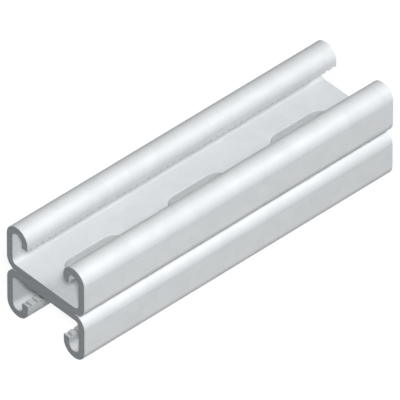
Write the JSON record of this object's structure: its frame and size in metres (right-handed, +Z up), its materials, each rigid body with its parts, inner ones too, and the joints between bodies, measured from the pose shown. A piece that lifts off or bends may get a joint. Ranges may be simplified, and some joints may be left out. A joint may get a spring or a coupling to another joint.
{
  "type": "back-to-back strut channel",
  "caption": "Back-to-back steel strut channel with slotted webs, rounded inward lips and notched lip edges that grip channel nuts.",
  "frame": {"origin": "on the floor under the middle of the piece, level with the crowns of the lower lips", "axes": "+X across the channel, +Y along the stock, +Z up out of the upper channel's mouth"},
  "size_m": [0.041, 0.15, 0.042],
  "materials": {
    "galvanised_steel": "pale zinc coating with a soft sheen, bare grey steel on the cut ends"
  },
  "bodies": {
    "root": {"upper_channel": "galvanised_steel", "lower_channel": "galvanised_steel"}
  },
  "joints": []
}
